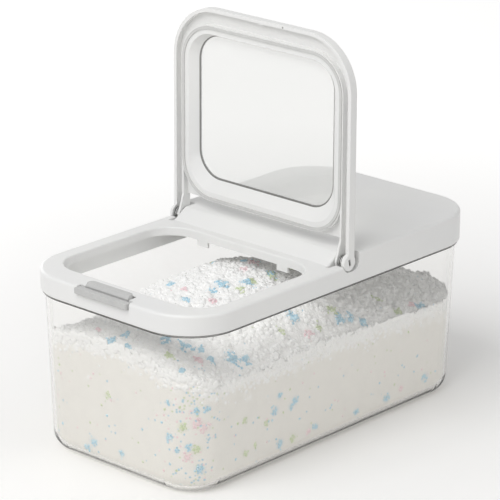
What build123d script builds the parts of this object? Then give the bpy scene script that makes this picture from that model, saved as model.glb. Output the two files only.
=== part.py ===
from build123d import *
import math
import os

# Detergent dispenser: clear bin, white lid, flip-up hatch with a window, press latch.
# X runs across, the front is at -Y, +Z is up. The origin is on the floor under the lid's centre.
# Lengths are millimetres. The hatch is modelled standing open, as it is when powder is scooped.

# Overall
lid_width = 200.0
lid_length = 366.0
lid_corner = 47.0
seat_height = 142.0
skirt_height = 17.5
deck_rise = 9.0
overrun = 20.0

# Bin
bin_overhang = 4.9
bin_draft = 5.7
bin_corner = 39.0
bin_wall = 2.4
bin_floor = 3.2
bin_foot_round = 15.0
bin_inner_round = 12.6
bin_neck = 8.5
flange_thickness = 1.8
flange_inset = 1.2

# Powder
fill_gap = 0.4
fill_level_share = 0.648
fill_rise_share = 0.324
fill_station_shares = (-1.02, -0.62, -0.25, 0.1, 0.55, 1.02)
fill_height_shares = (0.3, 0.78, 1.0, 0.94, 0.55, 0.04)

# Lid
lid_wall = 2.4
lid_plate = 2.4
rim_round = 2.6
deck_round = 2.6
skirt_chamfer = 0.6
step_foot = -8.0
step_crest = 6.0
step_round = 5.0
plug_clearance = 0.8
plug_wall = 2.0
plug_reach = 3.5
plug_seal_drop = 1.0
plug_seal_height = 2.4
plug_seal_gap = 0.2
mouth_front_ledge = 24.5
mouth_side_ledge = 14.0
mouth_rear = -17.0
mouth_corner = 28.0
mouth_round = 1.2
lip_depth = 7.5
lip_wall = 2.0
tab_width = 12.0
tab_spacing = 91.0
tab_drop = 5.0

# Hatch, given as it lies closed
hatch_inset = 0.3
hatch_gap = 0.4
hatch_wall = 3.2
hatch_plate = 3.0
hatch_rear = -11.5
hatch_round = 2.0
ring_front_inset = 14.7
ring_rear = -12.0
ring_rim = 8.0
ring_corner = 34.0
ring_gap = 0.6
slope_front_run = 1.8
slope_side_run = 6.8
slope_rear_run = 10.5
window_corner = 24.0
window_overlap = 3.0
window_thickness = 1.6
window_clearance = 0.15
seal_width = 2.5
seal_inset = 1.2
seal_groove = 2.2
seal_gap = 0.1

# Hinge
hinge_y = 6.5
hinge_rise = 2.0
ear_round = 7.4
inner_ear_round = 6.6
inner_ear_wall = 2.0
barrel_radius = 5.2
barrel_length = 5.0
barrel_play = 0.35
pin_radius = 3.0
pin_clearance = 0.05
tongue_width = 2.2
tongue_clearance = 0.1
tongue_tilt = 12.0
tongue_recess = 1.4
recess_gap = 0.8
recess_rear_gap = 4.4
recess_floor = 1.6
recess_round = 1.6
saddle_width = 6.0
ear_edge = 1.0
arm_root = 34.0
arm_reach = 5.2
open_turn = -90.0

# Latch
button_width = 59.0
button_depth = 6.8
button_height = 5.2
button_proud = 3.0
button_round = 0.8
button_drop = 0.3
latch_travel = 1.4
latch_clearance = 0.4
web_width = 40.0
web_height = 2.0
catch_width = 48.0
catch_depth = 8.0
catch_rise = 3.1
catch_chamfer = 2.6
catch_corner = 4.0
catch_gap = 1.2
hook_width = 4.0
hook_depth = 0.8
spring_gap = 0.2
spring_leaf = 0.4
spring_height = 1.8
cover_plate = 1.5
cover_clearance = 0.1


def place(shape, z):
    return Pos(0, 0, z) * shape


def slab(width, length, corner, bottom, top):
    return place(extrude(RectangleRounded(width, length, corner), top - bottom), bottom)


def box(x0, x1, y0, y1, z0, z1):
    return Pos((x0 + x1) / 2, (y0 + y1) / 2, (z0 + z1) / 2) * Box(x1 - x0, y1 - y0, z1 - z0)


def rod(radius, x0, x1, y, z):
    return Pos(x0, y, z) * extrude(Plane.YZ * Circle(radius), x1 - x0)


def tapered(width, length, corner, start, rise, draft):
    # Block that narrows by draft on each side from its start to start + rise
    angle = math.degrees(math.atan2(draft, abs(rise)))
    outline = place(RectangleRounded(width, length, corner), start)
    return extrude(outline, rise, taper=angle)


def lowest(solid):
    return solid.faces().sort_by(Axis.Z)[0].edges()


def highest(solid):
    return solid.faces().sort_by(Axis.Z)[-1].edges()


# Places worked out from the sizes above
rim_height = seat_height + skirt_height
deck_height = rim_height + deck_rise
hinge_z = rim_height + hinge_rise
lid_front = -lid_length / 2
half_width = lid_width / 2
bin_width = lid_width - 2 * bin_overhang
bin_length = lid_length - 2 * bin_overhang
cavity_width = bin_width - 2 * bin_wall
cavity_length = bin_length - 2 * bin_wall
cavity_corner = bin_corner - bin_wall
bin_top = seat_height + bin_neck
fill_level = seat_height * fill_level_share
fill_rise = seat_height * fill_rise_share
plug_width = cavity_width - 2 * plug_clearance
plug_length = cavity_length - 2 * plug_clearance
plug_corner = cavity_corner - plug_clearance
plug_bottom = seat_height - plug_reach
mouth_width = lid_width - 2 * mouth_side_ledge
mouth_front = lid_front + mouth_front_ledge
mouth_length = mouth_rear - mouth_front
mouth_middle = (mouth_rear + mouth_front) / 2
hatch_bottom = rim_height + hatch_gap
hatch_front = lid_front + hatch_inset
wall_outer = half_width - hatch_inset
wall_inner = wall_outer - hatch_wall
barrel_outer = wall_inner - barrel_play
barrel_inner = barrel_outer - barrel_length
inner_ear_outer = barrel_inner - barrel_play
inner_ear_inner = inner_ear_outer - inner_ear_wall
recess_inner = inner_ear_inner - recess_gap
recess_front = hinge_y - ear_round - recess_gap
recess_rear = hinge_y + ear_round + recess_rear_gap
recess_bottom = hinge_z - ear_round - recess_gap
button_front = lid_front - button_proud
button_rear = button_front + button_depth
button_top = rim_height - button_drop
button_bottom = button_top - button_height
pocket_bottom = button_bottom - latch_clearance
pocket_rear = button_rear + latch_travel + latch_clearance
catch_front = button_rear + catch_gap
catch_rear = catch_front + catch_depth
catch_top = rim_height + catch_rise
web_top = button_bottom + web_height
slot_rear = catch_rear + latch_travel + latch_clearance
chamber_rear = mouth_front - 2 * lip_wall
hook_rear = hatch_front + hatch_wall + hook_depth
ring_width = 2 * inner_ear_outer
ring_front = hatch_front + ring_front_inset
ring_length = ring_rear - ring_front
ring_middle = (ring_rear + ring_front) / 2
ring_bottom = hatch_bottom + ring_gap
pane_bottom = deck_height - window_thickness
window_width = ring_width - 2 * (ring_rim + slope_side_run)
window_front = ring_front + ring_rim + slope_front_run
window_rear = ring_rear - ring_rim - slope_rear_run
hinge_line = Axis((0, hinge_y, hinge_z), (1, 0, 0))


def bin_cavity(gap):
    width = cavity_width - 2 * gap
    length = cavity_length - 2 * gap
    corner = cavity_corner - gap
    inner = tapered(width, length, corner, seat_height, -seat_height, bin_draft)
    inner -= box(-lid_width, lid_width, -lid_length, lid_length, -overrun, bin_floor)
    inner = fillet(lowest(inner), bin_inner_round)
    return inner + slab(width, length, corner, seat_height, bin_top + overrun)


def make_bin():
    body = tapered(bin_width, bin_length, bin_corner, seat_height, -seat_height, bin_draft)
    body = fillet(lowest(body), bin_foot_round)
    body += slab(bin_width, bin_length, bin_corner, seat_height, bin_top)
    flange_width = lid_width - 2 * flange_inset
    flange_length = lid_length - 2 * flange_inset
    flange_bottom = seat_height - flange_thickness
    body += slab(flange_width, flange_length, lid_corner - flange_inset, flange_bottom, seat_height)
    return body - bin_cavity(0)


def make_fill():
    # A heap lofted through crowned cross-sections, trimmed to the inside of the bin
    reach = cavity_width / 2
    sections = []
    for station_share, height_share in zip(fill_station_shares, fill_height_shares):
        crown = fill_level + fill_rise * height_share
        side = Polyline((reach, fill_level), (reach, 0), (-reach, 0), (-reach, fill_level))
        top = ThreePointArc((-reach, fill_level), (0, crown), (reach, fill_level))
        section = make_face([*side.edges(), top])
        station = station_share * cavity_length / 2
        sections.append(Plane((0, station, 0), x_dir=(1, 0, 0), z_dir=(0, -1, 0)) * section)
    return loft(sections) & bin_cavity(fill_gap)


def deck_prism(drop, back, half, low, rear):
    # Raised deck with its slope, made from the side profile; lowered by drop and moved back
    run = (step_crest - step_foot) / (deck_height - rim_height)
    top = deck_height - drop
    crest = step_crest + back
    foot = crest - run * (top - low)
    outline = make_face(Polyline((foot, low), (crest, top), (rear, top), (rear, low), close=True))
    corner = outline.vertices().group_by(Axis.Y)[-1].sort_by(Axis.X)[0]
    return extrude(Plane.YZ * fillet(corner, step_round), half, both=True)


def deck_hump():
    # The part of the deck between the hinges, with its ends rounded over
    low = rim_height - lid_plate
    rear = recess_rear + overrun
    hump = deck_prism(0, 0, recess_inner, low, rear)
    ends = hump.faces().group_by(Axis.X)
    edges = ends[0].edges() + ends[-1].edges()
    edges = edges.filter_by_position(Axis.Z, low + recess_floor, deck_height)
    edges = edges.filter_by_position(Axis.Y, step_foot - overrun, recess_rear + recess_floor)
    return fillet(edges, recess_round)


def lid_outer():
    front = slab(lid_width, lid_length, lid_corner, seat_height, rim_height)
    front = fillet(highest(front), rim_round)
    deck = slab(lid_width, lid_length, lid_corner, seat_height, deck_height)
    deck = fillet(highest(deck), deck_round)
    deck -= box(-lid_width, lid_width, -lid_length, recess_rear, 0, deck_height + overrun)
    body = front + deck + deck_hump()
    return chamfer(lowest(body), skirt_chamfer)


def lid_hollow():
    width = lid_width - 2 * lid_wall
    length = lid_length - 2 * lid_wall
    corner = lid_corner - lid_wall
    low = seat_height - overrun
    front = slab(width, length, corner, low, rim_height - lid_plate)
    deck = slab(width, length, corner, low, deck_height - lid_plate)
    return front + (deck & deck_prism(lid_plate, lid_plate, half_width, low, lid_length))


def mouth_block(margin, bottom, top):
    width = mouth_width + 2 * margin
    length = mouth_length + 2 * margin
    return Pos(0, mouth_middle, 0) * slab(width, length, mouth_corner + margin, bottom, top)


def mouth_edges(lid):
    margin = mouth_round / 2
    half = mouth_width / 2 + margin
    level = lid.edges().filter_by_position(Axis.Z, rim_height - margin, rim_height + margin)
    near = level.filter_by_position(Axis.Y, mouth_front - margin, mouth_rear + margin)
    return near.filter_by_position(Axis.X, -half, half)


def plug_ring():
    ring = slab(plug_width, plug_length, plug_corner, plug_bottom, deck_height)
    width = plug_width - 2 * plug_wall
    length = plug_length - 2 * plug_wall
    bottom = plug_bottom - overrun
    return ring - slab(width, length, plug_corner - plug_wall, bottom, deck_height + overrun)


def flare_profile(gap):
    # Side view of the inner ear, widening from the hatch's rear edge to the hinge, grown by gap
    start = hatch_rear - gap
    root = Line((start, ring_bottom - gap), (start, deck_height - hatch_round + gap))
    ear = Pos(hinge_y, hinge_z) * Circle(inner_ear_round + gap)
    return make_hull([*ear.edges(), root.edge()])


def hinge_recess(side):
    # Pocket in the lid's side that the hinge ears turn in, open above the rim as far as the slope's foot
    high = deck_height + overrun
    front = Line((recess_front, high), (recess_front, recess_bottom))
    rear = Line((recess_rear, recess_bottom), (recess_rear, high))
    outline = make_face([front, Line(front @ 1, rear @ 0), rear, Line(rear @ 1, front @ 0)])
    corners = outline.vertices().group_by(Axis.Y)[0]
    outline = fillet(corners, ear_round + recess_gap - hatch_gap)
    deep = half_width - recess_inner + overrun
    pocket = Pos(recess_inner, 0, 0) * extrude(Plane.YZ * outline, deep)
    above = box(recess_inner, recess_inner + deep, step_foot - overrun, recess_rear, rim_height, high)
    pocket += above
    groove = extrude(Plane.YZ * flare_profile(recess_gap), inner_ear_wall + 2 * recess_gap)
    pocket += Pos(recess_inner, 0, 0) * groove
    return pocket if side > 0 else mirror(pocket, Plane.YZ)


def hinge_saddle(side):
    # Cradle on the floor of a recess that carries the barrel
    near, far = sorted((side * barrel_inner, side * barrel_outer))
    front = hinge_y - saddle_width / 2
    saddle = box(near, far, front, front + saddle_width, recess_bottom, hinge_z)
    return saddle - rod(barrel_radius, near - overrun, far + overrun, hinge_y, hinge_z)


def make_lid():
    outer = lid_outer()
    core = outer + slab(plug_width, plug_length, plug_corner, plug_bottom, rim_height - lid_plate)
    lid = outer - lid_hollow()
    lid += plug_ring() & core
    lid += mouth_block(lip_wall, rim_height - lip_depth, rim_height - lid_plate / 2)
    boss_half = button_width / 2 + latch_clearance + lid_wall
    boss_bottom = pocket_bottom - cover_plate
    boss_rear = mouth_front - lip_wall / 2
    lid += box(-boss_half, boss_half, lid_front, boss_rear, boss_bottom, rim_height) & outer
    for side in (-1, 1):
        inner = side * (recess_inner - lid_wall)
        outer_edge = side * half_width
        boss = box(min(inner, outer_edge), max(inner, outer_edge), recess_front - lid_wall,
                   recess_rear + lid_wall, recess_bottom - recess_floor, deck_height)
        lid += boss & outer
    lid -= mouth_block(0, plug_bottom - overrun, rim_height + overrun)
    lid = fillet(mouth_edges(lid), mouth_round)
    for side in (-1, 1):
        lid -= hinge_recess(side)
        lid += hinge_saddle(side)
        tab_x = side * tab_spacing / 2
        tab_top = rim_height - lip_depth
        lid += box(tab_x - tab_width / 2, tab_x + tab_width / 2, mouth_rear, mouth_rear + lip_wall,
                   tab_top - tab_drop, tab_top)
    return lid - latch_pocket()


def latch_pocket():
    # Room for the button from the front, the catch from above, and the spring from below
    bar_half = button_width / 2 + latch_clearance
    catch_half = catch_width / 2 + latch_clearance
    high = rim_height + overrun
    pocket = box(-bar_half, bar_half, lid_front - overrun, pocket_rear, pocket_bottom, high)
    pocket += box(-catch_half, catch_half, pocket_rear - overrun, slot_rear, pocket_bottom, high)
    return pocket + latch_chamber(0)


def latch_chamber(gap):
    half = web_width / 2 + latch_clearance - gap
    front = -plug_length / 2 + plug_wall + gap
    rear = chamber_rear - gap
    return box(-half, half, front, rear, pocket_bottom - cover_plate - gap, rim_height - lid_plate)


def make_latch_cover():
    plate = latch_chamber(cover_clearance)
    return plate & box(-lid_width, lid_width, -lid_length, 0, pocket_bottom - cover_plate, pocket_bottom)


def make_lid_seal():
    bottom = plug_bottom + plug_seal_drop
    top = bottom + plug_seal_height
    reach = plug_clearance - plug_seal_gap
    ring = slab(plug_width + 2 * reach, plug_length + 2 * reach, plug_corner + reach, bottom, top)
    return ring - slab(plug_width, plug_length, plug_corner, bottom - overrun, top + overrun)


def ring_block(inset, bottom, top):
    # Block with the outline of the hatch's raised ring, brought in by inset
    block = slab(ring_width - 2 * inset, ring_length - 2 * inset, ring_corner - inset, bottom, top)
    return Pos(0, ring_middle, 0) * block


def window_outline(margin):
    # Outline of the window's clear opening, grown by margin
    width = window_width + 2 * margin
    length = window_rear - window_front + 2 * margin
    outline = RectangleRounded(width, length, window_corner + margin)
    return Pos(0, (window_front + window_rear) / 2, 0) * outline


def window_slope():
    # Funnel from the ring's inner edge to the clear opening, steepest at the front
    rim_outline = RectangleRounded(ring_width - 2 * ring_rim, ring_length - 2 * ring_rim, ring_corner - ring_rim)
    mouth = Pos(0, ring_middle, ring_bottom) * rim_outline
    return loft([mouth, place(window_outline(0), pane_bottom)], ruled=True)


def window_pane(margin, top):
    pane = extrude(window_outline(window_overlap + margin), top - pane_bottom)
    return place(pane, pane_bottom)


def opened(piece):
    # From lying closed to standing open
    return piece.rotate(hinge_line, open_turn)


def pin_shape(width, outer_end, gap):
    # Round pin through the inner ear, with a flat tongue milled on its outer end
    radius = pin_radius + gap
    pin = rod(radius, inner_ear_inner, wall_inner, hinge_y, hinge_z)
    flat = Rot(tongue_tilt, 0, 0) * Box(lid_width, lid_width, width + 2 * gap)
    tongue = rod(radius, wall_inner, outer_end, hinge_y, hinge_z)
    return pin + (tongue & Pos(wall_inner, hinge_y, hinge_z) * flat)


def hatch_arm(skin):
    # Arm at the right side: outer wall and ear, inner ear, and the web between them
    start = hatch_rear - arm_root
    arm = skin & box(wall_inner, wall_outer, start, hinge_y, hatch_bottom, deck_height)
    ear = rod(ear_round, wall_inner, wall_outer, hinge_y, hinge_z)
    arm += fillet(ear.faces().sort_by(Axis.X)[-1].edges(), ear_edge)
    arm += Pos(inner_ear_inner, 0, 0) * extrude(Plane.YZ * flare_profile(0), inner_ear_wall)
    arm += box(inner_ear_inner, inner_ear_outer, start, hatch_rear, ring_bottom, pane_bottom)
    web_end = hinge_y - arm_reach
    arm += skin & box(inner_ear_inner, wall_outer, start, web_end, deck_height - hatch_plate, deck_height)
    return arm - pin_shape(tongue_width, wall_outer + overrun, tongue_clearance)


def make_hatch_frame():
    length = lid_length - 2 * hatch_inset
    skin = slab(2 * wall_outer, length, lid_corner - hatch_inset, hatch_bottom, deck_height)
    skin = fillet(highest(skin), hatch_round)
    far = lid_length
    frame = skin - box(-far, far, hatch_rear, far, hatch_bottom - overrun, deck_height + overrun)
    corner = lid_corner - hatch_inset - hatch_wall
    ceiling = deck_height - hatch_plate
    hollow = slab(2 * wall_inner, length - 2 * hatch_wall, corner, hatch_bottom - overrun, ceiling)
    frame -= hollow
    frame += ring_block(0, ring_bottom, deck_height - hatch_plate / 2)
    frame += catch_hook()
    arm = hatch_arm(skin)
    frame += arm
    frame += mirror(arm, Plane.YZ)
    frame -= window_slope()
    frame -= window_pane(window_clearance, deck_height + overrun)
    return opened(frame - seal_ring(0, ring_bottom - overrun))


def catch_hook():
    # Nub on the inside of the hatch's front wall that snaps over the catch
    half = hook_width / 2
    return box(-half, half, hatch_front + hatch_wall / 2, hook_rear, hatch_bottom, deck_height - hatch_plate / 2)


def seal_ring(gap, bottom):
    top = ring_bottom + seal_groove - gap
    ring = ring_block(seal_inset + gap, bottom, top)
    return ring - ring_block(seal_inset + seal_width - gap, bottom - overrun, top + overrun)


def make_hatch_seal():
    return opened(seal_ring(0, rim_height + seal_gap))


def make_hatch_window():
    return opened(window_pane(0, deck_height))


def make_hinge_pin(side):
    pin = pin_shape(tongue_width, wall_outer - tongue_recess, 0)
    pin = opened(pin)
    return pin if side > 0 else mirror(pin, Plane.YZ)


def make_hinge_barrel(side):
    barrel = rod(barrel_radius, barrel_inner, barrel_outer, hinge_y, hinge_z)
    bore = pin_radius + pin_clearance
    barrel -= rod(bore, barrel_inner - overrun, barrel_outer + overrun, hinge_y, hinge_z)
    return barrel if side > 0 else mirror(barrel, Plane.YZ)


def make_latch_button():
    half = button_width / 2
    bar = box(-half, half, button_front, button_rear, button_bottom, button_top)
    bar = fillet(bar.edges(), button_round)
    root = button_rear - button_depth / 2
    return bar + box(-web_width / 2, web_width / 2, root, catch_rear, button_bottom, web_top)


def make_latch_catch():
    half = catch_width / 2
    block = box(-half, half, catch_front, catch_rear, web_top, catch_top)
    rear = block.edges().filter_by(Axis.Z).group_by(Axis.Y)[-1]
    block = fillet(rear, catch_corner)
    nose = block.faces().sort_by(Axis.Z)[-1].edges().sort_by(Axis.Y)[0]
    return chamfer(nose, catch_chamfer)


def make_latch_spring():
    # Bowed leaf between the sliding web and the chamber's rear wall
    rise = chamber_rear - catch_rear - 2 * spring_gap
    half_chord = web_width / 2 - latch_clearance
    radius = (half_chord ** 2 + rise ** 2) / (2 * rise)
    centre = catch_rear + spring_gap + radius
    bow = Pos(0, centre, 0) * (Circle(radius) - Circle(radius - spring_leaf))
    leaf = place(extrude(bow, spring_height), button_bottom)
    return leaf & box(-half_chord, half_chord, -lid_length, chamber_rear - spring_gap, 0, deck_height)


pieces = {
    "bin": make_bin(),
    "detergent_fill": make_fill(),
    "lid": make_lid(),
    "lid_seal": make_lid_seal(),
    "hatch_frame": make_hatch_frame(),
    "hatch_window": make_hatch_window(),
    "hatch_seal": make_hatch_seal(),
    "hinge_pin_left": make_hinge_pin(-1),
    "hinge_pin_right": make_hinge_pin(1),
    "hinge_barrel_left": make_hinge_barrel(-1),
    "hinge_barrel_right": make_hinge_barrel(1),
    "latch_button": make_latch_button(),
    "latch_catch": make_latch_catch(),
    "latch_spring": make_latch_spring(),
    "latch_cover": make_latch_cover(),
}

os.makedirs("parts", exist_ok=True)
for name, piece in pieces.items():
    export_step(piece, f"parts/{name}.step")
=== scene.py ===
import bpy
import math
import random
from mathutils import Euler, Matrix, Quaternion, Vector, noise
from mathutils.bvhtree import BVHTree
from mathutils.kdtree import KDTree


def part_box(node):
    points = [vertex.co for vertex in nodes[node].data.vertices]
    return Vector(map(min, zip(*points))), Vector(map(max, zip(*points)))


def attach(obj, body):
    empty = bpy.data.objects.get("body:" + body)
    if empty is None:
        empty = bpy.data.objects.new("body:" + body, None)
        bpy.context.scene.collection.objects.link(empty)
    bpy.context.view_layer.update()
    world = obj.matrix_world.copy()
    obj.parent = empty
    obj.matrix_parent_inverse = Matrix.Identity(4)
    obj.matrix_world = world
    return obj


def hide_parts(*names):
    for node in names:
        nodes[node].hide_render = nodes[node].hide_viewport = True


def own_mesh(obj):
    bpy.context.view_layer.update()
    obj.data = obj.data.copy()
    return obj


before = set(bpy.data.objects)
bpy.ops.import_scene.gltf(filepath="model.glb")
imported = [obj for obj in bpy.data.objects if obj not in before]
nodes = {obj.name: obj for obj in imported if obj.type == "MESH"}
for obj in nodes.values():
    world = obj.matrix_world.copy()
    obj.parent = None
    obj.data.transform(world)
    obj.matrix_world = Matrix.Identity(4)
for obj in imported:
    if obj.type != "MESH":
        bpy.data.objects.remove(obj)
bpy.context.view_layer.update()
print("frame loaded,", len(nodes), "pieces")


# a shader socket that can be used in sums
class Wire:
    def __init__(self, shade, socket):
        self.shade = shade
        self.socket = socket

    def sum(self, operation, first, second):
        return self.shade.maths(operation, first, second)

    def __add__(self, other):
        return self.sum("ADD", self, other)

    def __radd__(self, other):
        return self.sum("ADD", other, self)

    def __sub__(self, other):
        return self.sum("SUBTRACT", self, other)

    def __rsub__(self, other):
        return self.sum("SUBTRACT", other, self)

    def __mul__(self, other):
        return self.sum("MULTIPLY", self, other)

    def __rmul__(self, other):
        return self.sum("MULTIPLY", other, self)

    def __lt__(self, other):
        return self.sum("LESS_THAN", self, other)

    def __gt__(self, other):
        return self.sum("GREATER_THAN", self, other)


# the nodes of one material, or of the world
class Shade:
    def __init__(self, owner):
        self.owner = owner
        owner.use_nodes = True
        self.tree = owner.node_tree
        self.tree.nodes.clear()

    # any node: its type, its settings, then the values or links of its sockets
    def node(self, kind, settings=None, inputs=None, out=0):
        made = self.tree.nodes.new(kind)
        for key, value in (settings or {}).items():
            setattr(made, key, value)
        for key, value in (inputs or {}).items():
            if isinstance(value, Wire):
                self.tree.links.new(value.socket, made.inputs[key])
            else:
                made.inputs[key].default_value = value
        return Wire(self, made.outputs[out]) if out is not None else None

    def place(self):
        return self.node("ShaderNodeTexCoord", out="Object")

    def along(self, axis):
        return self.node("ShaderNodeSeparateXYZ", {}, {0: self.place()}, out=axis)

    def attribute(self, name):
        return self.node("ShaderNodeAttribute", {"attribute_name": name}, out="Fac")

    def ray(self, kind):
        return self.node("ShaderNodeLightPath", out="Is " + kind + " Ray")

    def maths(self, operation, first, second=0.0):
        return self.node("ShaderNodeMath", {"operation": operation}, {0: first, 1: second})

    def length(self, first, second):
        return self.maths("SQRT", first * first + second * second)

    def noise(self, scale, detail=2.0, roughness=0.5):
        inputs = {"Vector": self.place(), "Scale": scale, "Detail": detail, "Roughness": roughness}
        return self.node("ShaderNodeTexNoise", {}, inputs)

    def spread(self, value, low, high, toLow=0.0, toHigh=1.0):
        inputs = {"Value": value, "From Min": low, "From Max": high, "To Min": toLow, "To Max": toHigh}
        return self.node("ShaderNodeMapRange", {}, inputs)

    def patches(self, scale, detail, roughness=0.5):
        return self.spread(self.noise(scale, detail, roughness), 0.35, 0.65)

    # a value that drifts between low and high
    def drift(self, scale, detail, low, high):
        return self.spread(self.noise(scale, detail), 0.3, 0.7, low, high)

    def mix(self, factor, first, second):
        return self.node("ShaderNodeMix", {"data_type": "RGBA"}, {0: factor, 6: first, 7: second}, out=2)

    def bump(self, height, strength, distance):
        return self.node("ShaderNodeBump", {}, {"Height": height, "Strength": strength, "Distance": distance})

    def principled(self, inputs):
        return self.node("ShaderNodeBsdfPrincipled", {}, inputs)

    def blend(self, factor, first, second):
        return self.node("ShaderNodeMixShader", {}, {0: factor, 1: first, 2: second})

    def finish(self, surface, output="ShaderNodeOutputMaterial"):
        self.node(output, {}, {"Surface": surface}, out=None)
        return self.owner


def newShade(name):
    return Shade(bpy.data.materials.new(name))


def dress(material, *names):
    for name in names:
        slots = nodes[name].data.materials
        slots.clear()
        slots.append(material)


def copyNode(node, name):
    piece = nodes[node].copy()
    piece.data = nodes[node].data.copy()
    piece.name = name
    piece.parent = None
    bpy.context.scene.collection.objects.link(piece)
    return piece


# satin moulded white: a faint grain, and a roughness that drifts a little
whiteLook = {
    "colour": (0.85, 0.85, 0.835, 1), "cool": (0.825, 0.825, 0.82, 1), "patch": 9.0,
    "rough": (0.30, 0.42), "drift": 60.0, "grain": 1400.0, "bump": (0.06, 0.0002), "ior": 1.48,
    "holeShadeSpot": (0.0246, 0.0049, 0.3488), "holeShadeSize": 0.0011, "holeShadeColour": (0.30, 0.30, 0.28, 1),
}


def whiteMould(name, shadedHole=False):
    look = whiteLook
    shade = newShade(name)
    colour = shade.mix(shade.patches(look["patch"], 3.0), look["colour"], look["cool"])
    if shadedHole:  # a dark dot painted on the hatch's top rail: painted shade of a small hole there
        ends = {0: shade.place(), 1: look["holeShadeSpot"]}
        away = shade.node("ShaderNodeVectorMath", {"operation": "DISTANCE"}, ends, out=1)
        holeShade = shade.spread(away, look["holeShadeSize"] * 0.5, look["holeShadeSize"], 1.0, 0.0)
        colour = shade.mix(holeShade, colour, look["holeShadeColour"])
    return shade.finish(shade.principled({
        "Base Color": colour,
        "Roughness": shade.drift(look["drift"], 4.0, *look["rough"]),
        "Normal": shade.bump(shade.noise(look["grain"], 1.0), *look["bump"]),
        "IOR": look["ior"],
    }))


# clear polished plastic: light and shadow rays go straight through, the eye sees the refraction
clearLook = {
    "ior": 1.42, "blend": 0.5, "glance": (0.55, 1.0), "patch": 35.0, "patchEdge": (0.4, 0.7), "rough": (0.02, 0.04),
    "gapShadeDrift": 300.0, "gapShadeRough": (0.35, 0.5),
}
# the bin has a dark line painted under the lid's skirt, between two heights: painted shadow of the gap between the
# skirt and the bin
binLook = {
    "colour": (0.985, 0.983, 0.976, 1), "edge": (0.74, 0.735, 0.715, 1), "through": 1.0,
    "gapShade": (0.09, 0.09, 0.085, 1), "seam": (0.1413, 0.1422),
}
# the pane has a dark line painted round an oblong at its edge, off centre so that it is wider at left and bottom:
# painted shade of the gap where the pane sits in its frame
paneLook = {
    "colour": (0.90, 0.902, 0.893, 1), "edge": (0.79, 0.79, 0.78, 1), "through": 0.74,
    "gapShade": (0.20, 0.20, 0.19, 1), "gapShadeCentre": (0.0005, 0.2629), "gapShadeEdge": (0.0747, 0.0626),
    "gapShadeCorner": 0.0227, "gapShadeFade": 0.0004, "gapShadeWidth": 0.002,
}


# painted shade: dark outside an off-centre oblong, within a narrow band round the pane's edge
def paneGapShadeMask(shade, look):
    corner = look["gapShadeCorner"]
    centre, edge = look["gapShadeCentre"], look["gapShadeEdge"]
    sideways = shade.maths("ABSOLUTE", shade.along("X") - centre[0]) - (edge[0] - corner)
    upright = shade.maths("ABSOLUTE", shade.along("Z") - centre[1]) - (edge[1] - corner)
    past = shade.length(shade.maths("MAXIMUM", sideways, 0.0), shade.maths("MAXIMUM", upright, 0.0))
    away = past + shade.maths("MINIMUM", shade.maths("MAXIMUM", sideways, upright), 0.0)
    return shade.spread(away, corner, corner + look["gapShadeFade"]) * (away < corner + look["gapShadeWidth"])


# painted shadow: a dark band on the bin between two heights, in the gap under the lid's skirt
def seamShadeMask(shade, look):
    low, high = look["seam"]
    return (shade.along("Z") > low) * (shade.along("Z") < high)


def clearMould(name, look, mask):
    shade = newShade(name)
    glance = shade.node("ShaderNodeLayerWeight", {}, {"Blend": clearLook["blend"]}, out="Facing")
    patch = shade.noise(clearLook["patch"], 3.0)
    glass = shade.principled({
        "Base Color": shade.mix(shade.spread(glance, *clearLook["glance"]), look["colour"], look["edge"]),
        "Roughness": shade.spread(patch, *clearLook["patchEdge"], *clearLook["rough"]),
        "Transmission Weight": look["through"],
        "IOR": clearLook["ior"],
    })
    clear = shade.node("ShaderNodeBsdfTransparent", {}, {"Color": look["colour"]})
    # the dark lines' shader, painted shade of the gaps, laid where the mask says
    gapShade = shade.principled({
        "Base Color": look["gapShade"],
        "Roughness": shade.drift(clearLook["gapShadeDrift"], 2.0, *clearLook["gapShadeRough"]),
    })
    straight = shade.maths("MAXIMUM", shade.ray("Shadow"), shade.ray("Diffuse"))
    return shade.finish(shade.blend(mask(shade, look), shade.blend(straight, glass, clear), gapShade))


# matt light grey of the latch
greyLook = {
    "colour": (0.56, 0.56, 0.55, 1), "dark": (0.52, 0.52, 0.515, 1), "patch": 80.0,
    "rough": (0.38, 0.5), "drift": 200.0, "grain": 1800.0, "bump": (0.08, 0.0002),
}


def greyMould():
    look = greyLook
    shade = newShade("greyMould")
    return shade.finish(shade.principled({
        "Base Color": shade.mix(shade.patches(look["patch"], 3.0), look["colour"], look["dark"]),
        "Roughness": shade.drift(look["drift"], 2.0, *look["rough"]),
        "Normal": shade.bump(shade.noise(look["grain"], 1.0), *look["bump"]),
    }))


rubberLook = {
    "colour": (0.66, 0.66, 0.645, 1), "dark": (0.58, 0.58, 0.57, 1), "patch": 120.0,
    "rough": (0.5, 0.62), "drift": 400.0,
}


def paleRubber():
    look = rubberLook
    shade = newShade("paleRubber")
    return shade.finish(shade.principled({
        "Base Color": shade.mix(shade.noise(look["patch"], 2.0), look["colour"], look["dark"]),
        "Roughness": shade.drift(look["drift"], 2.0, *look["rough"]),
    }))


# steel with fine dark and bright rings round the hinge line: painted reflection contrast, also cut as fine grooves
# in the bump
paintedRingLook = {
    "rings": 3300.0, "ringEdge": (-0.6, 0.6), "rough": (0.16, 0.28), "drift": 500.0, "bump": (0.25, 0.0001),
}
steelLook = {"bright": (0.72, 0.72, 0.71, 1), "dark": (0.10, 0.10, 0.10, 1)}
pinLook = {"bright": (0.10, 0.10, 0.10, 1), "dark": (0.03, 0.03, 0.03, 1)}


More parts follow.
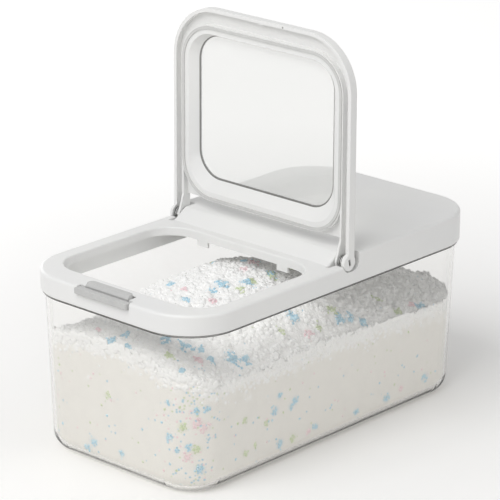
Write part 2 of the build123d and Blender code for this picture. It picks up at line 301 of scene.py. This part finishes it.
def steelPaintedRings(name, look):
    shade = newShade(name)
    paintedRing = shade.maths("SINE", shade.along("X") * paintedRingLook["rings"])
    return shade.finish(shade.principled({
        "Base Color": shade.mix(shade.spread(paintedRing, *paintedRingLook["ringEdge"]), look["dark"], look["bright"]),
        "Metallic": 1.0,
        "Roughness": shade.drift(paintedRingLook["drift"], 2.0, *paintedRingLook["rough"]),
        "Normal": shade.bump(paintedRing, *paintedRingLook["bump"]),
    }))


dress(whiteMould("whiteMould"), "lid", "latch_cover")
dress(whiteMould("whiteHatch", True), "hatch_frame")
dress(clearMould("clearBin", binLook, seamShadeMask), "bin")
dress(clearMould("clearPane", paneLook, paneGapShadeMask), "hatch_window")
dress(greyMould(), "latch_button", "latch_catch")
dress(paleRubber(), "lid_seal", "hatch_seal")
dress(steelPaintedRings("steelPaintedRings", steelLook), "hinge_barrel_left", "hinge_barrel_right", "latch_spring")
dress(steelPaintedRings("darkPin", pinLook), "hinge_pin_left", "hinge_pin_right")
print("moulded pieces dressed")


def makeSpring():
    leaf = copyNode("latch_spring", "springLeaf")
    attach(leaf, "lid_body")
    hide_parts("latch_spring")
    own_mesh(leaf)


makeSpring()

# powder: smooth where it lies on the walls, with a darker, warmer tone there that is partly the pressed powder's
# own and partly painted shade and warm bounce light, crumbly and whiter on top, with fine specks crowded near one
# corner
tints = ("blue", "pink", "green")
powderLook = {
    "white": (0.97, 0.965, 0.955, 1), "pressedShaded": (0.89, 0.87, 0.825, 1), "shade": (0.85, 0.83, 0.79, 1),
    "blue": (0.42, 0.62, 0.74, 1), "pink": (0.86, 0.66, 0.68, 1), "green": (0.64, 0.70, 0.50, 1),
    "patch": 70.0, "patchShare": 0.6, "rough": (0.8, 0.95), "drift": 300.0, "grain": 420.0, "bump": (0.5, 0.0009),
    "swell": 90.0, "swellShare": 0.25, "cell": 430.0, "speck": (0.25, 0.6, 0.9, 0.0), "corner": (0.088, -0.163),
    "pinkShare": 0.5, "greenFrom": 0.5, "greenShare": 0.6,
    "crowd": (0.012, 0.034, 0.13, 0.010), "crowdPatch": 55.0, "crowdShare": (0.4, 0.6, 0.2, 1.6),
}


def loosePowder():
    look = powderLook
    shade = newShade("loosePowder")
    loose = shade.attribute("loose")
    cells = {"Vector": shade.place(), "Scale": look["cell"], "Randomness": 1.0}
    away = shade.node("ShaderNodeTexVoronoi", {}, cells, out="Distance")
    hue = shade.node("ShaderNodeTexVoronoi", {}, cells, out="Color")
    pick = shade.node("ShaderNodeSeparateColor", {}, {0: hue})
    fromCorner = shade.length(shade.along("X") - look["corner"][0], shade.along("Y") - look["corner"][1])
    uneven = shade.spread(shade.noise(look["crowdPatch"], 2.0), *look["crowdShare"])
    crowd = shade.spread(fromCorner, *look["crowd"]) * uneven
    mottle = shade.patches(look["patch"], 5.0, 0.65) * look["patchShare"] + pick * (1 - look["patchShare"])
    # the lighter loose top and the darker, warmer walls: partly the powder's own tones, partly painted light and
    # shade
    colour = shade.mix(loose, shade.mix(mottle, look["pressedShaded"], look["shade"]), look["white"])
    for tint in tints:  # pale stains round the clumps
        colour = shade.mix(shade.attribute(tint + "Stain"), colour, look[tint])
    near = shade.spread(away, *look["speck"])
    colour = shade.mix(near * (pick < crowd), colour, look["blue"])
    colour = shade.mix(near * (pick > 1 - crowd * look["pinkShare"]), colour, look["pink"])
    start = look["greenFrom"]
    green = (pick > start) * (pick < start + crowd * look["greenShare"])
    colour = shade.mix(near * green, colour, look["green"])
    grain = {"Vector": shade.place(), "Scale": look["grain"]}
    crumbs = shade.node("ShaderNodeTexVoronoi", {}, grain, out="Distance")
    height = loose * (1 - crumbs) + shade.noise(look["swell"], 3.0) * look["swellShare"]
    return shade.finish(shade.principled({
        "Base Color": colour,
        "Roughness": shade.drift(look["drift"], 2.0, *look["rough"]),
        "Normal": shade.bump(height, *look["bump"]),
    }))


# the heap: heaped against the front, slid away from the sides, and lower at the rear
heapLook = {
    "voxel": 0.002, "steep": 0.25, "foot": 0.02, "level": 0.092, "above": 0.2,
    "lump": 0.014, "lumpRise": 0.006, "crumb": 0.0055, "crumbRise": 0.0035,
    "front": (0.12, 0.17), "frontRise": 0.006, "side": (0.05, 0.09), "sideSink": 0.004,
    "rear": (0.0, 0.13), "rearShare": 0.5,
    "shoulder": (0.003, 0.017), "shoulderIn": (0.955, 0.975), "shoulderWaves": ((0.7, 90), (0.4, 320)),
}


def activate(piece):
    bpy.ops.object.select_all(action="DESELECT")
    piece.select_set(True)
    bpy.context.view_layer.objects.active = piece


def crumble(piece, name, size, rise, group):
    texture = bpy.data.textures.new(name, "CLOUDS")
    texture.noise_scale = size
    texture.noise_depth = 2
    shove = piece.modifiers.new(name, "DISPLACE")
    shove.texture = texture
    shove.direction = "Z"
    shove.strength = rise
    shove.mid_level = 0.5
    shove.vertex_group = group
    bpy.ops.object.modifier_apply(modifier=name)


def ramp(value, low, high):
    share = min(max((value - low) / (high - low), 0.0), 1.0)
    return share * share * (3 - 2 * share)


def skinOf(piece):
    corners = [vertex.co for vertex in piece.data.vertices]
    return BVHTree.FromPolygons(corners, [tuple(face.vertices) for face in piece.data.polygons])


# where a plumb line from above meets a skin
def plumb(skin, x, y):
    return skin.ray_cast(Vector((x, y, heapLook["above"])), Vector((0, 0, -1)))[0]


# the loose layer fades away down the sides, unevenly
def fadeShoulder(heap, upper):
    skin = skinOf(heap)
    loose = heap.data.attributes["loose"].data
    above = set(upper)
    inX, inY = heapLook["shoulderIn"]
    for vertex in heap.data.vertices:
        if vertex.index in above:
            continue
        spot = vertex.co
        top = plumb(skin, spot.x * inX, spot.y * inY)
        if top:
            uneven = 1 + sum(share * noise.noise(spot * scale) for share, scale in heapLook["shoulderWaves"])
            loose[vertex.index].value = 1 - ramp((top.z - spot.z) * uneven, *heapLook["shoulder"])


def shapeTop(heap, upper):
    look = heapLook
    loose = heap.data.attributes.new("loose", "FLOAT", "POINT")
    for index in upper:
        loose.data[index].value = 1.0
        spot = heap.data.vertices[index].co
        front = ramp(-spot.y, *look["front"])
        side = ramp(abs(spot.x), *look["side"]) * (1 - front)
        spot.z -= max(spot.z - look["level"], 0.0) * look["rearShare"] * ramp(spot.y, *look["rear"])
        spot.z += look["frontRise"] * front - look["sideSink"] * side


def makeHeap():
    heap = copyNode("detergent_fill", "powderHeap")
    activate(heap)
    bpy.ops.object.mode_set(mode="EDIT")
    bpy.ops.mesh.select_all(action="SELECT")
    bpy.ops.mesh.remove_doubles(threshold=1e-5)
    bpy.ops.object.mode_set(mode="OBJECT")
    cut = heap.modifiers.new("fine", "REMESH")
    cut.mode = "VOXEL"
    cut.voxel_size = heapLook["voxel"]
    bpy.ops.object.modifier_apply(modifier="fine")
    top = heap.vertex_groups.new(name="top")
    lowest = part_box("detergent_fill")[0][2] + heapLook["foot"]
    upper = [v.index for v in heap.data.vertices if v.normal.z > heapLook["steep"] and v.co.z > lowest]
    top.add(upper, 1.0, "REPLACE")
    shapeTop(heap, upper)
    crumble(heap, "lumps", heapLook["lump"], heapLook["lumpRise"], "top")
    crumble(heap, "crumbs", heapLook["crumb"], heapLook["crumbRise"], "top")
    fadeShoulder(heap, upper)
    bpy.ops.object.shade_smooth()
    heap.data.materials.clear()
    heap.data.materials.append(loosePowder())
    return heap


heap = makeHeap()
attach(heap, "base")
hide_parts("detergent_fill")
print("powder heaped,", len(heap.data.polygons), "faces")

# crumbs: one is modelled and copied over the heap, in clusters by colour
crumbLook = {
    "seed": 11, "jitter": 0.14, "sunk": 0.3, "flat": 0.72, "clear": 0.00015, "room": 1.3,
    "whiteCount": 6300, "whiteSize": (0.0010, 0.0036), "whiteBias": 1.6,
    "edgeCount": 2600, "edgeReach": (0.2, 0.3), "edgeBox": (0.0885, 0.1715), "edgeLevel": 0.095, "edgeRoom": 0.003,
    "edgeStep": 0.985, "edgeDrop": 0.0065,
    "topSize": (0.0006, 0.0018), "topSpread": 0.45, "topLeast": 5, "topShare": 6500,
    "wallSize": (0.0005, 0.0014), "wallSpread": 0.5, "wallLeast": 1, "wallShare": 4800,
    "stain": 0.5, "stainReach": 1.5, "stainLeast": 0.001, "stainRoom": 0.2,
    "patch": 800.0, "patchEdge": (0.36, 0.62), "rough": (0.7, 0.9), "drift": 600.0, "grain": 1500.0,
    "bump": (0.3, 0.0003), "turn": (0, 6.28),
    "blue": [(0.34, 0.60, 0.75, 1), (0.68, 0.84, 0.91, 1)],
    "pink": [(0.88, 0.63, 0.67, 1), (0.93, 0.82, 0.83, 1)],
    "green": [(0.55, 0.65, 0.38, 1), (0.79, 0.83, 0.65, 1)],
    "white": [(0.97, 0.965, 0.955, 1), (0.93, 0.93, 0.925, 1)],
}
# inside of the bin: half its width and length at the seat, which narrow by the draft down to the floor
cavity = {"half": (0.0927, 0.1757), "corner": 0.0366, "draft": 0.0057, "seat": 0.142}
# where clusters lie on top, across and along the bin in mm, with how wide each is
topClusters = {
    "blue": [(-2, -170, 4), (17, -170, 3), (33, -143, 5), (48, -137, 6), (57, -128, 3), (68, -128, 4),
             (75, -110, 6), (80, -100, 4), (68, -162, 3), (2, -158, 5), (67, -29, 6), (78, 19, 5), (79, 31, 4),
             (84, 42, 5), (86, 117, 5), (-50, -95, 4), (-32, -70, 4), (6, -92, 4), (12, -54, 6), (13, -67, 4),
             (23, -36, 6), (22, -5, 4)],
    "pink": [(-28, -160, 3), (65, -139, 4), (81, -23, 4), (80, 112, 3), (-8, -80, 3), (24, -78, 3)],
    "green": [(51, -158, 4), (73, -50, 3), (79, -10, 3), (71, 17, 4), (66, 83, 4), (84, 89, 4), (23, -29, 4),
              (27, -48, 4)],
}
# and on the walls, by height too
wallClusters = {
    "blue": [(63, -173, 81, 2), (63, -172, 50, 3), (-24, -170, 21, 4), (-31, -170, 14, 3), (90, -166, 75, 3),
             (90, -154, 76, 3), (88, -160, 23, 4), (70, -171, 39, 2), (84, -171, 43, 3), (9, -170, 20, 3),
             (89, -49, 53, 4), (89, -54, 49, 3), (89, -74, 51, 4), (89, -69, 63, 3), (87, 72, 18, 4),
             (88, 123, 23, 4), (87, 31, 18, 3), (87, -22, 21, 3), (87, -66, 19, 4), (88, -2, 34, 1)],
    "pink": [(89, -165, 64, 5), (89, -156, 60, 4), (82, -171, 35, 4), (87, 90, 22, 3), (87, -31, 19, 3)],
    "green": [(-5, -172, 68, 3), (77, -172, 61, 4), (88, -164, 41, 4), (89, -110, 54, 3), (88, -84, 43, 3),
              (87, -50, 19, 4), (88, -109, 23, 3), (88, -97, 27, 2)],
}
# strays, in metres, a pair being a range: the sides that no view here shows get their share
strays = {
    "count": 10,
    "top": ((-0.085, 0.03), (-0.05, 0.17), (0.002, 0.005)),
    "walls": [(-0.09, (-0.15, 0.15), (0.018, 0.08), (0.002, 0.004)),
              ((-0.08, 0.08), 0.175, (0.018, 0.08), (0.002, 0.004)),
              (0.09, (-0.12, 0.16), (0.018, 0.075), 0.0005),
              ((-0.08, 0.08), -0.175, (0.018, 0.085), 0.0005)],
}
dice = random.Random(crumbLook["seed"])
skins = [skinOf(heap)]


# how far a point is from the bin's inner wall, and the way to that wall
def wallGap(spot):
    shrink = cavity["draft"] * (cavity["seat"] - spot.z) / cavity["seat"]
    corner = cavity["corner"]
    across, endways = cavity["half"]
    flat = Vector((abs(spot.x) - across + corner, abs(spot.y) - endways + corner))
    past = Vector((max(flat.x, 0.0), max(flat.y, 0.0)))
    away = past.length + min(max(flat.x, flat.y), 0.0) - corner + shrink
    if past.length < 1e-6:
        past = Vector((1.0, 0.0)) if flat.x > flat.y else Vector((0.0, 1.0))
    past.normalize()
    return -away, Vector((math.copysign(past.x, spot.x), math.copysign(past.y, spot.y), 0.0))


def modelCrumb():
    bpy.ops.object.select_all(action="DESELECT")
    bpy.ops.mesh.primitive_ico_sphere_add(subdivisions=1, radius=1.0, location=(0, 0, 0))
    crumb = bpy.context.object
    bpy.ops.object.mode_set(mode="EDIT")
    bpy.ops.mesh.select_all(action="SELECT")
    bpy.ops.transform.vertex_random(offset=crumbLook["jitter"], seed=crumbLook["seed"])
    bpy.ops.object.mode_set(mode="OBJECT")
    corners = [vertex.co.copy() for vertex in crumb.data.vertices]
    faces = [tuple(face.vertices) for face in crumb.data.polygons]
    bpy.data.objects.remove(crumb)
    return corners, faces


def crumbShade(name, tones):
    look = crumbLook
    shade = newShade(name)
    patch = shade.spread(shade.noise(look["patch"], 3.0), *look["patchEdge"])
    return shade.finish(shade.principled({
        "Base Color": shade.mix(patch, *tones),
        "Roughness": shade.drift(look["drift"], 2.0, *look["rough"]),
        "Normal": shade.bump(shade.noise(look["grain"], 2.0), *look["bump"]),
    }))


def strewCrumbs(name, shape, places, material):
    corners = []
    sides = []
    for spot, size, way in places:
        turn = Euler([dice.uniform(*crumbLook["turn"]) for axis in range(3)]).to_matrix()
        turned = [turn @ (corner * size) for corner in shape[0]]
        if way:  # pressed flat on the wall
            turned = [corner - way * corner.dot(way) * crumbLook["flat"] for corner in turned]
            spot = spot - way * max(corner.dot(way) for corner in turned)
        start = len(corners)
        corners += [spot + corner for corner in turned]
        sides += [[start + index for index in face] for face in shape[1]]
    mesh = bpy.data.meshes.new(name)
    mesh.from_pydata(corners, [], sides)
    mesh.materials.append(material)
    crumbs = bpy.data.objects.new(name, mesh)
    bpy.context.scene.collection.objects.link(crumbs)
    activate(crumbs)
    bpy.ops.object.shade_smooth()
    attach(crumbs, "base")
    print(name, len(places))
    return crumbs


def highest(x, y):
    hits = [plumb(skin, x, y) for skin in skins]
    return max((hit for hit in hits if hit), key=lambda hit: hit.z, default=None)


# a crumb's place, size and way to the wall that it is pressed on
def onTop(x, y, size):
    spot = highest(x, y)
    if spot is None or wallGap(spot)[0] < size * crumbLook["room"] + crumbLook["clear"]:
        return []
    return [(spot - Vector((0, 0, size * crumbLook["sunk"])), size, None)]


def onWall(spot, size):
    gap, way = wallGap(spot)
    return [(spot + way * (gap - crumbLook["clear"]), size, way)]


# a point on the top, close to the wall
def edgeSpot(turn):
    look = crumbLook
    reach = Vector((math.cos(turn) * look["edgeReach"][0], math.sin(turn) * look["edgeReach"][1]))
    x, y = reach * min(look["edgeBox"][0] / abs(reach.x), look["edgeBox"][1] / abs(reach.y))
    while wallGap(Vector((x, y, look["edgeLevel"])))[0] < look["edgeRoom"]:
        x, y = x * look["edgeStep"], y * look["edgeStep"]
    return highest(x, y)


def whitePlaces():
    look = crumbLook
    across, endways = cavity["half"]
    low, high = look["whiteSize"]
    places = []
    while len(places) < look["whiteCount"]:
        x = dice.uniform(-across, across)
        y = dice.uniform(-endways, endways)
        places += onTop(x, y, low + (high - low) * dice.random() ** look["whiteBias"])
    for count in range(look["edgeCount"]):  # a ragged edge where the heap meets the walls
        spot = edgeSpot(dice.uniform(0, 2 * math.pi))
        if spot is not None:
            drop = abs(dice.gauss(0.0, look["edgeDrop"]))
            places += onWall(spot - Vector((0, 0, drop)), dice.uniform(low, high))
    return places


def draw(entry):
    return dice.uniform(*entry) if isinstance(entry, tuple) else entry


def clusters(colour):
    tops = [[value / 1000 for value in row] for row in topClusters[colour]]
    walls = [[value / 1000 for value in row] for row in wallClusters[colour]]
    for count in range(strays["count"]):
        tops.append([draw(entry) for entry in strays["top"]])
        walls += [[draw(entry) for entry in row] for row in strays["walls"]]
    return tops, walls


# the places of one colour's crumbs, and the spots that they stain
def colourPlaces(colour):
    look = crumbLook
    places = []
    stains = []
    tops, walls = clusters(colour)
    for x, y, wide in tops:
        stains += [(place[0], wide * look["stainReach"]) for place in onTop(x, y, wide * look["stainRoom"])]
        shake = wide * look["topSpread"]
        for count in range(look["topLeast"] + int(wide * look["topShare"])):
            places += onTop(dice.gauss(x, shake), dice.gauss(y, shake), dice.uniform(*look["topSize"]))
    for x, y, z, wide in walls:
        centre = Vector((x, y, z))
        if wide > look["stainLeast"]:
            stains += [(place[0], wide * look["stainReach"]) for place in onWall(centre, 0)]
        for count in range(look["wallLeast"] + int(wide * look["wallShare"])):
            shake = Vector([dice.gauss(0, wide * look["wallSpread"]) for axis in range(3)])
            places += onWall(centre + shake, dice.uniform(*look["wallSize"]))
    return places, stains


def stainHeap(tree, name, stains):
    stain = heap.data.attributes.new(name, "FLOAT", "POINT").data
    for spot, wide in stains:
        for place, index, away in tree.find_range(spot, wide):
            stain[index].value = max(stain[index].value, crumbLook["stain"] * (1 - away / wide))


def strewAll():
    shape = modelCrumb()
    tree = KDTree(len(heap.data.vertices))
    for vertex in heap.data.vertices:
        tree.insert(vertex.co, vertex.index)
    tree.balance()
    whites = strewCrumbs("crumbsWhite", shape, whitePlaces(), crumbShade("crumbWhite", crumbLook["white"]))
    skins.append(skinOf(whites))  # the coloured ones lie on the white ones too
    for colour in tints:
        name = "crumbs" + colour.capitalize()
        places, stains = colourPlaces(colour)
        stainHeap(tree, colour + "Stain", stains)
        strewCrumbs(name, shape, places, crumbShade(name, crumbLook[colour]))


strewAll()

# plain pale floor that the eye sees near white, with the object's shadow left on it
stageLook = {
    "floor": (0.93, 0.925, 0.915, 1), "drift": (0.91, 0.905, 0.895, 1), "patch": 3.0, "size": 12.0,
    "foot": (0.085, 0.168), "reach": (0.0, 0.70), "lift": (0.06, 0.40), "glow": ((0, 0, 0, 1), (1, 1, 1, 1)),
}


def seenRay(shade):
    either = shade.maths("MAXIMUM", shade.ray("Camera"), shade.ray("Glossy"))
    return shade.maths("MAXIMUM", either, shade.ray("Transmission"))


def pastFoot(shade, axis, half):
    return shade.maths("MAXIMUM", shade.maths("ABSOLUTE", shade.along(axis)) - half, 0.0)


def makeFloor():
    look = stageLook
    bpy.ops.object.select_all(action="DESELECT")
    bpy.ops.mesh.primitive_plane_add(size=look["size"], location=(0, 0, 0))
    floor = bpy.context.object
    floor.name = "floor"
    shade = newShade("paleFloor")
    fromBin = shade.length(pastFoot(shade, "X", look["foot"][0]), pastFoot(shade, "Y", look["foot"][1]))
    lift = shade.spread(fromBin, *look["reach"], *look["lift"])
    surface = shade.principled({
        "Base Color": shade.mix(shade.noise(look["patch"], 2.0), look["floor"], look["drift"]),
        "Roughness": 1.0,
        "Specular IOR Level": 0.0,
        "Emission Color": shade.mix(seenRay(shade) * lift, *look["glow"]),
        "Emission Strength": 1.0,
    })
    floor.data.materials.append(shade.finish(surface))


makeFloor()

# an even pale room, white where the eye meets it
roomLook = {"light": 0.56, "seen": 1.0}


def makeRoom():
    world = bpy.data.worlds.new("studio")
    bpy.context.scene.world = world
    shade = Shade(world)
    strength = shade.spread(seenRay(shade), 0.0, 1.0, roomLook["light"], roomLook["seen"])
    shade.finish(shade.node("ShaderNodeBackground", {}, {"Strength": strength}), "ShaderNodeOutputWorld")


makeRoom()

# soft lights: a key from the front, and weaker ones low at each side that reach under the lid
lightLook = {
    "keyBox": {"place": (0.06, -1.30, 1.72), "aim": (0, 0, 0.12), "size": (1.5, 1.3), "power": 23.2},
    "sideBox": {"place": (2.4, 0.3, 0.7), "aim": (0, 0, 0.12), "size": (1.4, 1.2), "power": 6.4},
    "leftBox": {"place": (-2.2, 0.7, 0.55), "aim": (0, 0, 0.10), "size": (1.4, 1.0), "power": 8.5},
}


def softbox(name, place, aim, size, power):
    light = bpy.data.lights.new(name, "AREA")
    light.shape = "RECTANGLE"
    light.size, light.size_y = size
    light.energy = power
    lamp = bpy.data.objects.new(name, light)
    lamp.location = place
    lamp.rotation_euler = (Vector(aim) - Vector(place)).to_track_quat("-Z", "Y").to_euler()
    bpy.context.scene.collection.objects.link(lamp)


for name, look in lightLook.items():
    softbox(name, **look)
print("stage lit")

# the camera stands where the photograph was taken from
viewFit = {
    "azimuth": 42.32, "elevation": 19.30, "distance": 2.46505, "target": (-0.00334, -0.0030, 0.15072),
    "roll": 0.25, "focal": 2906.27, "frame": 500.0, "sensor": 36.0, "far": 50.0,
}


def makeCamera():
    camera = bpy.data.cameras.new("view")
    camera.sensor_width = viewFit["sensor"]
    camera.lens = viewFit["focal"] / viewFit["frame"] * viewFit["sensor"]
    camera.clip_end = viewFit["far"]
    eye = bpy.data.objects.new("view", camera)
    turn = math.radians(viewFit["azimuth"])
    lift = math.radians(viewFit["elevation"])
    away = Vector((math.sin(turn) * math.cos(lift), -math.cos(turn) * math.cos(lift), math.sin(lift)))
    eye.location = Vector(viewFit["target"]) + away * viewFit["distance"]
    look = (-away).to_track_quat("-Z", "Y") @ Quaternion((0, 0, 1), math.radians(viewFit["roll"]))
    eye.rotation_euler = look.to_euler()
    bpy.context.scene.collection.objects.link(eye)
    bpy.context.scene.camera = eye


makeCamera()
bpy.context.scene.view_settings.view_transform = "Standard"
print("scene ready")
